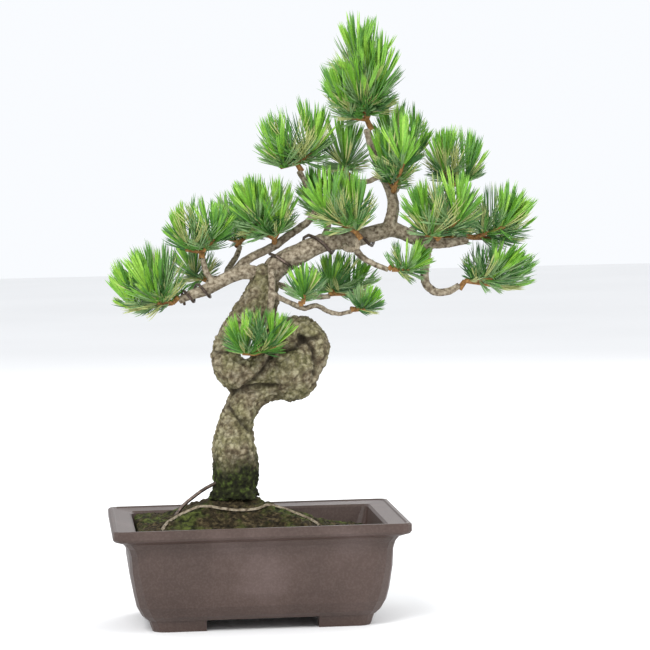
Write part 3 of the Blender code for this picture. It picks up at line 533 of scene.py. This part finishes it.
def soil_depth(place, normal):
    """Clods and crumbs on the soil's top."""
    if normal.z < SOIL_TOP_NORMAL:
        return 0.0, 1.0
    clods = (noise.turbulence(place * CLOD_SCALE, OCTAVES, True) - CLOD_LEVEL) * CLOD_DEPTH
    return clods + plates(place, CRUMB_SIZE) * CRUMB_DEPTH, 1.0


def make_wood():
    # Without a seed, noise_vector takes its offsets from the clock
    noise.seed_set(BARK_WARP_SEED)
    trunk = copy_joined("trunk_bark", ["trunk"], make_bark())
    remeshed(trunk, TRUNK_VOXEL, TRUNK_SWELL, WOOD_SMOOTHING)
    relief(trunk, trunk_depth)
    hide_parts("trunk")
    limbs = copy_joined("bough_bark", LIMB_NODES, make_twig_bark())
    remeshed(limbs, LIMB_VOXEL, LIMB_SWELL, WOOD_SMOOTHING)
    relief(limbs, limb_depth)
    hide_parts(*LIMB_NODES)
    return [trunk, limbs]


def make_soil():
    soil = copy_joined("soil_relief", ["soil"], make_soil_material())
    remeshed(soil, SOIL_VOXEL)
    relief(soil, soil_depth)
    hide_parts("soil")
    return soil


# Needles

def space_share(name, point):
    """How far out in a mass's space a point lies: 1 on its surface."""
    _, middle, radii, *_ = MASSES[name]
    offset = point - at(*middle)
    return math.sqrt(sum((offset[i] / (radii[i] * MM)) ** 2 for i in range(3)))


def shoot_ends(name, rng):
    _, middle, radii, count, turn, top = MASSES[name]
    ends = []
    for i in range(count):
        rise = i / (count - 1) if count > 1 else 1
        height = LOWEST_SHOOT + (top - LOWEST_SHOOT) * rise
        narrowing = 1 - max(height, 0) * SPREAD_LOSS_ABOVE_MIDDLE
        spread = SHOOT_SPREAD * narrowing if count > 1 else 0
        jitter = rng.uniform(-SHOOT_TURN_JITTER, SHOOT_TURN_JITTER)
        angle = math.radians(turn) + 2 * math.pi * i / count + jitter
        ends.append(at(middle[0] + radii[0] * spread * math.cos(angle),
                       middle[1] + radii[1] * spread * math.sin(angle),
                       middle[2] + radii[2] * height))
    return ends


def tilted(axis, tilt, turn):
    """A direction leaning from an axis, turned round it."""
    side = axis.orthogonal().normalized()
    out = side * math.cos(turn) + axis.cross(side) * math.sin(turn)
    return (axis * math.cos(tilt) + out * math.sin(tilt)).normalized()


def reach(name, root, direction):
    """How long a needle can be before it leaves its mass's space."""
    length = 0.0
    while (length < NEEDLE_LENGTH
           and space_share(name, root + direction * (length + REACH_STEP)) < 1):
        length += REACH_STEP
    return min(length, NEEDLE_LENGTH)


def add_ring(verts, centre, side, other, radius, count):
    for corner in range(count):
        angle = 2 * math.pi * corner / count
        verts.append(centre + (side * math.cos(angle) + other * math.sin(angle)) * radius)


def join_rings(faces, low, high, count):
    for corner in range(count):
        after = (corner + 1) % count
        faces.append((low + corner, low + after, high + after, high + corner))


class NeedleMesh:
    """Curved three-sided needles gathered for one colour."""

    def __init__(self):
        self.verts = []
        self.faces = []

    def add(self, root, direction, length, half_width, bend):
        side = direction.cross(Vector((0, 0, 1)))
        side = side.normalized() if side.length > LEAST_SIDEWAYS else Vector((1, 0, 0))
        up = side.cross(direction)
        first = len(self.verts)
        for step in range(NEEDLE_STEPS):
            share = step / NEEDLE_STEPS
            lift = up * (bend * length * share ** 2)
            centre = root + direction * (length * share) + lift
            width = half_width * (ROOT_WIDTH + SWELLING * share - TAPER * share ** 4)
            add_ring(self.verts, centre, side, up, width, NEEDLE_SIDES)
        tip = len(self.verts)
        self.verts.append(root + direction * length + up * (bend * length))
        last = tip - NEEDLE_SIDES
        for low in range(first, last, NEEDLE_SIDES):
            join_rings(self.faces, low, low + NEEDLE_SIDES, NEEDLE_SIDES)
        for corner in range(NEEDLE_SIDES):
            self.faces.append((last + corner, last + (corner + 1) % NEEDLE_SIDES, tip))


def grow_bundles(name, foot, end, kind, rng, meshes):
    """Bundles of five needles on one shoot, by the rule of the part's source, carried finer."""
    base, middle, *_ = MASSES[name]
    line = (end - foot).normalized()
    outward = (at(*middle) - at(*base)).normalized()
    axis = (line * ALONG_SHOOT + outward * OUT_OF_MASS + Vector((0, 0, UPWARD))).normalized()
    turn = rng.uniform(0, 2 * math.pi)
    for _ in range(kind["count"]):
        turn += GOLDEN_ANGLE
        tilt = math.radians(rng.uniform(*kind["tilts"]))
        root = foot.lerp(end, rng.uniform(*kind["places"]))
        direction = tilted(axis, tilt, turn)
        length = reach(name, root, direction) * rng.uniform(*BUNDLE_LENGTH_SHARES)
        if length < SHORTEST_NEEDLE:
            continue
        colour = rng.choice(kind["colours"])
        for i in range(NEEDLES_IN_BUNDLE):
            lean = math.radians(rng.uniform(*LEAN_SHARES) * kind["spread"])
            blade = tilted(direction, lean, GOLDEN_ANGLE * i + turn)
            bend = kind["bend"] * rng.uniform(*BEND_SHARES)
            blade_length = length * rng.uniform(*NEEDLE_LENGTH_SHARES)
            meshes[colour].add(root, blade, blade_length, kind["width"], bend)


def add_stem(verts, faces, start, end, radii):
    """A tapered stem, closed at its end."""
    line = (end - start).normalized()
    side = line.orthogonal().normalized()
    other = line.cross(side)
    first = len(verts)
    for centre, radius in zip((start, end), radii):
        add_ring(verts, centre, side, other, radius, STEM_SIDES)
    join_rings(faces, first, first + STEM_SIDES, STEM_SIDES)
    faces.append(tuple(first + STEM_SIDES + corner for corner in range(STEM_SIDES)))


def limb_points():
    """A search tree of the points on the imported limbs, to root the masses' stems in."""
    places = [vert.co.copy() for node in LIMB_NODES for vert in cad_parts[node].data.vertices]
    tree = KDTree(len(places))
    for index, place in enumerate(places):
        tree.insert(place, index)
    tree.balance()
    return tree


def make_foliage():
    meshes = {name: NeedleMesh() for name in GREENS}
    stem_verts, stem_faces = [], []
    limbs = limb_points()
    for name, (base, *_) in MASSES.items():
        rng = random.Random(name)
        foot = at(*base)
        start = foot + (limbs.find(foot)[0] - foot) * STEM_SINK
        add_stem(stem_verts, stem_faces, start, foot, STEM_RADII)
        for end in shoot_ends(name, rng):
            add_stem(stem_verts, stem_faces, foot, end, SHOOT_RADII)
            grow_bundles(name, foot, end, YOUNG, rng, meshes)
            grow_bundles(name, foot, end, OLD, rng, meshes)
    pieces = []
    for colour, needles in meshes.items():
        piece = mesh_object("sprays_" + colour, needles.verts, needles.faces, make_green(colour))
        pieces.append(piece)
    shoots = mesh_object("shoots", stem_verts, stem_faces, make_shoot_material(), smooth=True)
    pieces.append(shoots)
    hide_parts(*MASS_NODES)
    return pieces


# Studio

def make_camera():
    back = Vector((math.sin(CAMERA_AZIMUTH) * math.cos(CAMERA_HEIGHT),
                   -math.cos(CAMERA_AZIMUTH) * math.cos(CAMERA_HEIGHT), math.sin(CAMERA_HEIGHT)))
    right = (-back).cross(Vector((0, 0, 1))).normalized()
    up = right.cross(-back)
    turned_right = right * math.cos(CAMERA_ROLL) + up * math.sin(CAMERA_ROLL)
    turned_up = up * math.cos(CAMERA_ROLL) - right * math.sin(CAMERA_ROLL)
    matrix = Matrix((turned_right, turned_up, back)).transposed().to_4x4()
    matrix.translation = at(*CAMERA_TARGET) + back * CAMERA_DISTANCE
    data = bpy.data.cameras.new("camera")
    data.sensor_width = SENSOR_MM
    data.lens = SENSOR_MM * FOCAL_PIXELS / IMAGE_PIXELS
    data.clip_end = CLIP_END
    camera = bpy.data.objects.new("camera", data)
    camera.matrix_world = matrix
    bpy.context.scene.collection.objects.link(camera)
    bpy.context.scene.camera = camera


def add_light(name, place, target, size, power):
    data = bpy.data.lights.new(name, "AREA")
    data.shape = "SQUARE"
    data.size = size
    data.energy = power
    light = bpy.data.objects.new(name, data)
    light.location = place
    light.rotation_euler = (Vector(target) - Vector(place)).to_track_quat("-Z", "Y").to_euler()
    bpy.context.scene.collection.objects.link(light)


def make_studio():
    corners = [(x * FLOOR_HALF, y * FLOOR_HALF, 0)
               for x, y in ((-1, -1), (1, -1), (1, 1), (-1, 1))]
    floor = mesh_object("floor", corners, [(0, 1, 2, 3)], make_floor_material())
    world = bpy.data.worlds.new("studio")
    world.use_nodes = True
    background = world.node_tree.nodes["Background"]
    background.inputs["Color"].default_value = SKY_COLOUR
    background.inputs["Strength"].default_value = SKY_STRENGTH
    bpy.context.scene.world = world
    bpy.context.scene.view_settings.view_transform = "Standard"
    for name, (place, target, size, power) in LIGHTS.items():
        add_light(name, place, target, size, power)


def dress_node(name, material):
    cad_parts[name].material_slots[0].material = material


def main():
    make_camera()
    make_studio()
    pieces = make_wood()
    pieces.append(make_soil())
    pieces.extend(make_foliage())
    for piece in pieces:
        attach(piece, "root")
    dress_node("pot", make_ceramic())
    dress_node("surface_root", make_twig_bark())
    wire = make_wire_material()
    for name in WIRE_NODES:
        dress_node(name, wire)


main()
